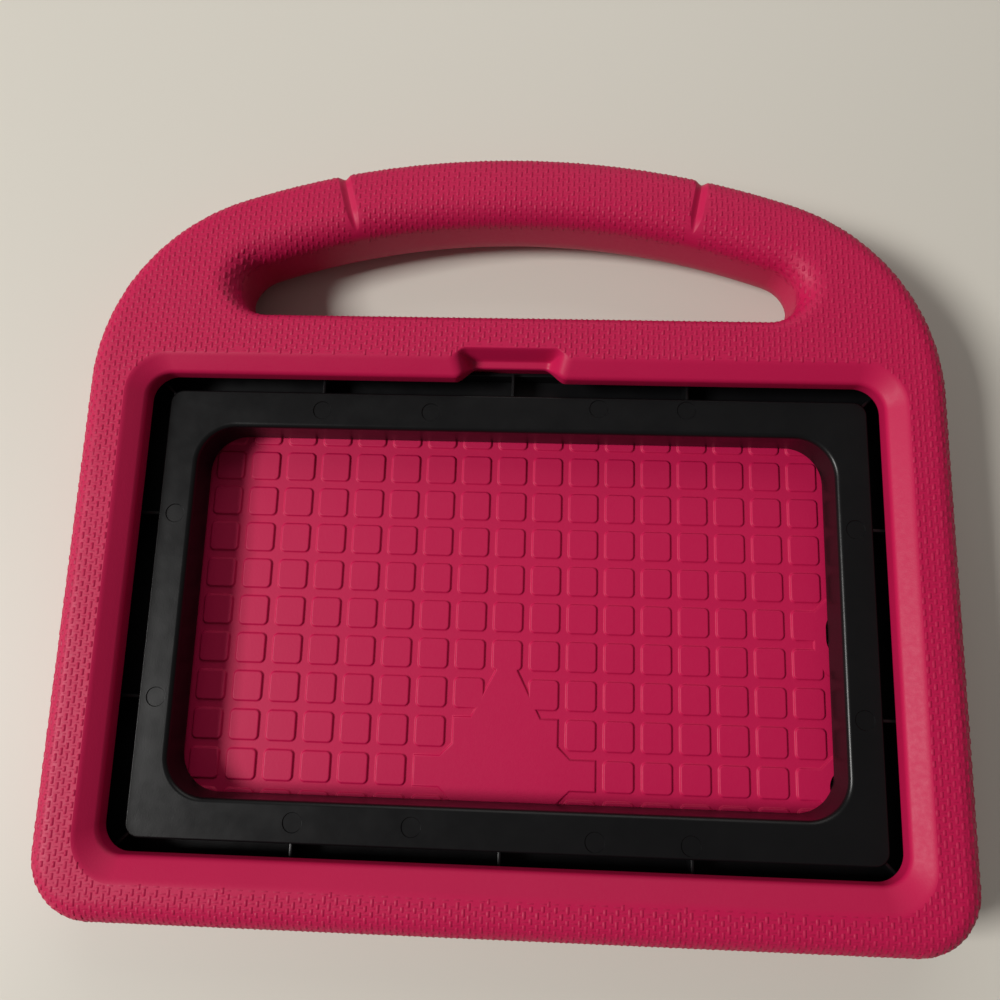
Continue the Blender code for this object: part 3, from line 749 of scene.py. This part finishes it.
# %% [markdown]
# The black frame is injection moulded: thin walls, small radii, slight marks. Its band is a loft that
# closes on itself like a tyre, so the top can have a tight outer edge and a rounder inner one, which
# one bevel couldn't give. Outside it lies a low channel with a thin outer wall. Both are slabs of two
# outlines, and they reach under or into their neighbours, so the pieces join as one.

# %% Face band of the frame
FLANGE_T, FLANGE_EDGE, FLANGE_UNDER = 3.2, 0.4, 1.5
FLANGE_SIDE, FLANGE_ABOVE = 11.7, 6.35
BAND_SIDE, BAND_ABOVE = 7.9, 8.9
INSERT_R, FACE_R, OPEN_R = 6.0, 3.2, 9.0
FACE_W, FACE_H = INSERT_W - 2 * FLANGE_SIDE, INSERT_H - 2 * FLANGE_ABOVE
OPEN_W, OPEN_H = FACE_W - 2 * BAND_SIDE, FACE_H - 2 * BAND_ABOVE
OUTER_EDGE, INNER_EDGE = 0.5, 1.1
WALL_T, WALL_EDGE, WALL_FOOT, WALL_DROP = 0.9, 0.2, 1.0, 2.0


def band_ring(width, height, radius, grow, z):
    """A rounded rectangle round the middle of the frame, grown by some distance, at one height."""
    path = rounded_rect(INNER_X, BAY_Y, width + 2 * grow, height + 2 * grow, radius + grow, steps=14)
    return at_height(path, z)


def edge_rings(width, height, radius, edge, inwards, steps=6):
    """Rings over a rounded top edge, from its side to the top."""
    rings = []
    for k in range(steps + 1):
        turn = math.radians(90 * k / steps)
        grow = inwards * edge * (1 - math.cos(turn))
        rings.append(band_ring(width, height, radius, grow, INSERT_TOP_Z - edge * (1 - math.sin(turn))))
    return rings


rings = [band_ring(FACE_W, FACE_H, FACE_R, 0, INSERT_LOW_Z)]
rings += edge_rings(FACE_W, FACE_H, FACE_R, OUTER_EDGE, -1)
rings += list(reversed(edge_rings(OPEN_W, OPEN_H, OPEN_R, INNER_EDGE, 1)))
rings.append(band_ring(OPEN_W, OPEN_H, OPEN_R, 0, INSERT_LOW_Z))
insert = loft("insert", rings, ring_shaped=True)
outside = [rounded_rect(INNER_X, BAY_Y, INSERT_W - 2 * inset, INSERT_H - 2 * inset, INSERT_R - inset)
           for inset in (FLANGE_EDGE, WALL_EDGE, WALL_T - WALL_EDGE)]
under_band = rounded_rect(INNER_X, BAY_Y, FACE_W - 2 * FLANGE_UNDER, FACE_H - 2 * FLANGE_UNDER, FACE_R)
flange = slab("flange", [outside[0], under_band], INSERT_LOW_Z, INSERT_LOW_Z + FLANGE_T, edge=FLANGE_EDGE)
carve(insert, flange, "UNION")
wall = slab("wall", outside[1:], INSERT_LOW_Z + WALL_FOOT, INSERT_TOP_Z - WALL_DROP, edge=WALL_EDGE)
carve(insert, wall, "UNION")
print("frame opening", round(OPEN_W, 1), "x", round(OPEN_H, 1), "mm")

# %% [markdown]
# Thin ribs stiffen the channel: a few across it on each side and a diagonal one in each corner. They
# are slabs again, with small bevels, because a moulded rib has no sharp edge. The pins that pushed the
# frame out of its tool left shallow round marks on the band, cut by a short loft that widens upwards.

# %% Ribs and pin marks of the frame
RIB_CORE, RIB_EDGE = 0.3, 0.2
RIB_DROP, RIB_MARGIN, CORNER_RIB = 0.5, 0.8, 6.0
LONG_RIBS_X = (-45.5, -0.2, 41.0)
SHORT_RIBS_Y = (-21.0, 21.0)
PIN_R, PIN_DEPTH, PIN_TAPER, PIN_CLEAR = 2.2, 0.22, 0.15, 1.0
PIN_STEPS = 36
LONG_PINS = ((-45.5, 0.0), (-19.5, 0.0), (20.2, 1.6), (40.7, 1.6))


def bar_path(cx, cy, length, width, turn):
    """A rectangle turned about its middle."""
    path = []
    for sx, sy in ((1, -1), (1, 1), (-1, 1), (-1, -1)):
        x, y = sx * length / 2, sy * width / 2
        path.append((cx + x * math.cos(turn) - y * math.sin(turn),
                     cy + x * math.sin(turn) + y * math.cos(turn)))
    return path


def rib_paths():
    """The ribs from the band out to just short of the frame's edge; their bevels make them thicker."""
    half_w, half_h = FACE_W / 2, FACE_H / 2
    reach_x, reach_y = INSERT_W / 2 - RIB_MARGIN - half_w, INSERT_H / 2 - RIB_MARGIN - half_h
    for side in (-1, 1):
        for x in LONG_RIBS_X:
            yield bar_path(INNER_X + x, BAY_Y + side * (half_h + (reach_y - RIB_MARGIN) / 2), RIB_CORE,
                           reach_y + RIB_MARGIN, 0)
        for y in SHORT_RIBS_Y:
            yield bar_path(INNER_X + side * (half_w + (reach_x - RIB_MARGIN) / 2), BAY_Y + y,
                           reach_x + RIB_MARGIN, RIB_CORE, 0)
    middle = FACE_R * (math.sqrt(0.5) - 1) + CORNER_RIB / 2 - RIB_MARGIN
    for sx, sy in ((1, 1), (-1, 1), (-1, -1), (1, -1)):
        turn = math.atan2(sy, sx)
        yield bar_path(INNER_X + sx * half_w + middle * math.cos(turn),
                       BAY_Y + sy * half_h + middle * math.sin(turn), CORNER_RIB, RIB_CORE, turn)


def pin_centres():
    """Marks along the middle of the band, some of them a little further out."""
    mid_x, mid_y = (FACE_W + OPEN_W) / 4, (FACE_H + OPEN_H) / 4
    for side in (-1, 1):
        for x, out in LONG_PINS:
            yield INNER_X + x, BAY_Y + side * (mid_y + out)
        for y in SHORT_RIBS_Y:
            yield INNER_X + side * mid_x, BAY_Y + y


for path in rib_paths():
    rib = slab("rib", [path], INSERT_LOW_Z + FLANGE_T / 2, INSERT_TOP_Z - RIB_DROP, edge=RIB_EDGE,
               roundness=1)
    carve(insert, rib, "UNION")
for cx, cy in pin_centres():
    low = arc(cx, cy, PIN_R - PIN_TAPER, 0, 360, PIN_STEPS, skip_last=True)
    high = arc(cx, cy, PIN_R, 0, 360, PIN_STEPS, skip_last=True)
    rings = [at_height(low, INSERT_TOP_Z - PIN_DEPTH), at_height(high, INSERT_TOP_Z),
             at_height(high, INSERT_TOP_Z + PIN_CLEAR)]
    carve(insert, loft("pin_tool", rings))
print("frame faces:", len(insert.data.polygons))

# %% [markdown]
# Shading. Smooth shading alone would bend the light over the large flat faces, so sharp edges are
# marked by angle, and a Weighted Normal modifier lets the large faces decide how the light falls.

# %% Smooth the surfaces


def soften(obj, angle):
    """Smooth shading, with the edges that turn by more than an angle in degrees kept sharp."""
    obj.data.polygons.foreach_set("use_smooth", [True] * len(obj.data.polygons))
    obj.data.set_sharp_from_angle(angle=math.radians(angle))
    mod = obj.modifiers.new("weighted", "WEIGHTED_NORMAL")
    mod.keep_sharp = True


soften(shell, angle=38)
soften(insert, angle=32)
print("triangles:", {o.name: sum(len(p.vertices) - 2 for p in o.data.polygons)
                     for o in (shell, insert, weave_bars, weave_threads)})

# %% [markdown]
# Finishes. A material is a small net of nodes that ends in the Principled shader. These helpers each
# add one node and give back its output, so that a finish reads as a few lines. Noise textures in
# object coordinates give every unevenness, so nothing slides when the camera moves. Their scale is
# about the number of waves in a metre.

# %% Helpers for finishes
NOISE_LOW, NOISE_HIGH = 0.3, 0.7


def start_material(name):
    """A new material with its nodes, its links and its shader."""
    mat = bpy.data.materials.new(name)
    mat.use_nodes = True
    nodes, links = mat.node_tree.nodes, mat.node_tree.links
    return mat, nodes, links, nodes["Principled BSDF"]


def noise(nodes, links, scale, detail=2.0):
    where = nodes.get("Texture Coordinate") or nodes.new("ShaderNodeTexCoord")
    made = nodes.new("ShaderNodeTexNoise")
    made.inputs["Scale"].default_value = scale
    made.inputs["Detail"].default_value = detail
    links.new(where.outputs["Object"], made.inputs["Vector"])
    return made.outputs["Fac"]


def spread(nodes, links, value, low, high):
    """A number that runs from low to high with a noise, which seldom leaves its middle range."""
    made = nodes.new("ShaderNodeMapRange")
    made.inputs["From Min"].default_value = NOISE_LOW
    made.inputs["From Max"].default_value = NOISE_HIGH
    made.inputs["To Min"].default_value = low
    made.inputs["To Max"].default_value = high
    links.new(value, made.inputs["Value"])
    return made.outputs["Result"]


def mix_colours(nodes, links, value, dark, light):
    made = nodes.new("ShaderNodeMix")
    made.data_type = "RGBA"
    links.new(value, made.inputs["Factor"])
    made.inputs["A"].default_value = (*dark, 1.0)
    made.inputs["B"].default_value = (*light, 1.0)
    return made.outputs["Result"]


def bump(nodes, links, height, strength, distance, below=None):
    made = nodes.new("ShaderNodeBump")
    made.inputs["Strength"].default_value = strength
    made.inputs["Distance"].default_value = distance
    links.new(height, made.inputs["Height"])
    if below is not None:
        links.new(below, made.inputs["Normal"])
    return made.outputs["Normal"]


print("helpers for finishes are ready")

# %% [markdown]
# The foam is solid pink right through, matt, with a fine closed skin that is a little uneven. Its
# colour wanders slightly over centimetres, and its gloss over millimetres. Two bumps give the skin:
# fine pores, and weak waves a few millimetres long. The bars and threads get a copy of the same foam,
# painted a shade darker as painted shade for the small shadows inside the weave, and a little duller.

# %% Foam finish
CLOUD_SCALE, GLOSS_SCALE, PORE_SCALE, WAVE_SCALE = 60.0, 900.0, 2600.0, 160.0
PORE_STRENGTH, PORE_DEPTH = 0.25, 0.08 * MM
WAVE_STRENGTH, WAVE_DEPTH = 0.07, 0.3 * MM


def foam(name, dark, light, rough, specular):
    mat, nodes, links, shader = start_material(name)
    clouds = noise(nodes, links, CLOUD_SCALE, detail=3.0)
    links.new(mix_colours(nodes, links, clouds, dark, light), shader.inputs["Base Color"])
    links.new(spread(nodes, links, noise(nodes, links, GLOSS_SCALE), *rough), shader.inputs["Roughness"])
    shader.inputs["Specular IOR Level"].default_value = specular
    pores = bump(nodes, links, noise(nodes, links, PORE_SCALE, detail=3.0), PORE_STRENGTH, PORE_DEPTH)
    waves = bump(nodes, links, noise(nodes, links, WAVE_SCALE), WAVE_STRENGTH, WAVE_DEPTH, pores)
    links.new(waves, shader.inputs["Normal"])
    return mat


foam_smooth = foam("foam_smooth", dark=(0.445, 0.0050, 0.060), light=(0.475, 0.0066, 0.066),
                   rough=(0.47, 0.54), specular=0.24)
# painted shade: this copy of the foam is darker only to stand for the weave's own small shadows
foam_weave_painted_shade = foam("foam_weave_painted_shade", dark=(0.385, 0.0038, 0.051), light=(0.42, 0.0055, 0.058),
                  rough=(0.50, 0.64), specular=0.25)
shell.data.materials.clear()
shell.data.materials.append(foam_smooth)
for obj in (weave_bars, weave_threads):
    obj.data.materials.append(foam_weave_painted_shade)
print("foam nodes:", len(foam_smooth.node_tree.nodes))

# %% [markdown]
# The frame is black plastic with a satin skin from a spark-eroded tool. It has a faint grain, slightly
# sunken areas where it shrank as it cooled, and a few dull patches from handling. Real black plastic
# is never quite black, so the colour keeps a little light, and the gloss does the rest.

# %% Black plastic finish
BLACK_DARK, BLACK_LIGHT = (0.0025, 0.0025, 0.003), (0.005, 0.005, 0.0055)
BLACK_ROUGH, BLACK_SPECULAR = (0.29, 0.35), 0.25
PATCH_SCALE, DULL_SCALE, GRAIN_SCALE, SINK_SCALE = 45.0, 220.0, 3200.0, 120.0


def satin_black():
    mat, nodes, links, shader = start_material("satin_black")
    patches = noise(nodes, links, PATCH_SCALE, detail=4.0)
    links.new(mix_colours(nodes, links, patches, BLACK_DARK, BLACK_LIGHT), shader.inputs["Base Color"])
    dull = noise(nodes, links, DULL_SCALE, detail=4.0)
    links.new(spread(nodes, links, dull, *BLACK_ROUGH), shader.inputs["Roughness"])
    shader.inputs["Specular IOR Level"].default_value = BLACK_SPECULAR
    grain = bump(nodes, links, noise(nodes, links, GRAIN_SCALE), strength=0.18, distance=0.06 * MM)
    sunken = bump(nodes, links, noise(nodes, links, SINK_SCALE), strength=0.15, distance=0.4 * MM,
                  below=grain)
    links.new(sunken, shader.inputs["Normal"])
    return mat


insert.data.materials.clear()
insert.data.materials.append(satin_black())
print("frame nodes:", len(insert.data.materials[0].node_tree.nodes))

# %% [markdown]
# The case is one rigid body, so every piece rides on the root, the woven pattern too. The shell and
# the frame take the places of their two CAD solids, which are hidden. The shell itself is soft.

# %% Attach the pieces to the root and hide the CAD solids
for obj, slot_name in ((shell, "foam"), (weave_bars, "foam"), (weave_threads, "foam"),
                       (insert, "frame_plastic")):
    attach(obj, "root")
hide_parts("foam_shell")
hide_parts("inner_frame")
print("pieces:", [o.name for o in (shell, weave_bars, weave_threads, insert)])

# %% [markdown]
# The stage: a pale table top, a square lamp one and three quarter metres away on the left, a wide weak
# lamp behind the handle and a little light from all round. A lamp that is small for its distance draws
# a clear shadow. The main lamp stands at about 45 degrees, so it rakes over the weave, and the ramp on
# the right-hand side, which looks at it, comes out brightest.

# %% Table and lamps
TABLE = (0.60, 0.575, 0.515)
TABLE_SIZE, TABLE_DROP = 3.0, 0.0001
TABLE_CLOUDS, TABLE_ROUGH = 2.5, 0.55
SHADE_LOW, SHADE_HIGH = 0.97, 1.03
KEY_PLACE, KEY_SIZE, KEY_POWER = (-1.25, -0.2, 1.21), 0.46, 31.0
FILL_PLACE, FILL_SIZE, FILL_POWER = (0.05, 0.75, 0.60), 0.7, 2.1
SKY_STRENGTH = 0.15
KEY_TINT, FILL_TINT, SKY_TINT = (1.0, 0.985, 0.96), (1.0, 0.97, 0.93), (1.0, 0.97, 0.93)

bpy.ops.mesh.primitive_plane_add(size=TABLE_SIZE, location=(0.0, 0.0, -TABLE_DROP))
table = bpy.context.object
table.name = "table"
mat, nodes, links, shader = start_material("table_top")
darker, lighter = (tuple(shade * c for c in TABLE) for shade in (SHADE_LOW, SHADE_HIGH))
links.new(mix_colours(nodes, links, noise(nodes, links, TABLE_CLOUDS), darker, lighter),
          shader.inputs["Base Color"])
shader.inputs["Roughness"].default_value = TABLE_ROUGH
table.data.materials.append(mat)
table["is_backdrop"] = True


def lamp(name, place, size, power, tint):
    """A square lamp that looks at the middle of the case."""
    light = bpy.data.lights.new(name, "AREA")
    light.size = size
    light.energy = power
    light.color = tint
    obj = bpy.data.objects.new(name, light)
    obj.location = place
    obj.rotation_mode = "QUATERNION"
    obj.rotation_quaternion = (-Vector(place)).to_track_quat("-Z", "Y")
    bpy.context.scene.collection.objects.link(obj)


lamp("key", KEY_PLACE, KEY_SIZE, KEY_POWER, KEY_TINT)
lamp("fill", FILL_PLACE, FILL_SIZE, FILL_POWER, FILL_TINT)
world = bpy.data.worlds.new("room")
bpy.context.scene.world = world
world.use_nodes = True
sky = world.node_tree.nodes["Background"]
sky.inputs["Color"].default_value = (*SKY_TINT, 1.0)
sky.inputs["Strength"].default_value = SKY_STRENGTH
bpy.context.scene.view_settings.view_transform = "Standard"

# %% [markdown]
# The camera looks down from about 21 cm, a little below the middle of the case, so the slot's upper
# wall comes into view. Its direction is given by two vectors, the way right and the way up in the
# picture, because that is easier to read than three angles. A wide lens so close makes the nearer,
# lower end of the case look larger.

# %% Camera
EYE = (0.006322, -0.032933, 0.209398)
RIGHT = (0.9989, 0.0310, -0.0355)
UP = (-0.0236, 0.9812, 0.1913)
LENS = 30.6
NEAREST = 0.01
camera =bpy.data.objects.new("camera", bpy.data.cameras.new("camera"))
bpy.context.scene.collection.objects.link(camera)
right, up = Vector(RIGHT).normalized(), Vector(UP).normalized()
back = right.cross(up)
axes = Matrix((right, up, back)).transposed()
camera.matrix_world = Matrix.Translation(EYE) @ axes.to_4x4()
camera.data.lens = LENS
camera.data.clip_start = NEAREST
bpy.context.scene.camera = camera
print("camera height, mm:", round(EYE[2] / MM))

# %% [markdown]
# At the end the box of the new pieces is printed in millimetres. The CAD shell's size was printed at
# the start, so a change that makes the case bigger or smaller shows at once.

# %% Print the size of the new pieces and finish
low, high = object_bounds()
print("visual box, mm:", [round(v * 1000, 2) for v in (*low, *high)])
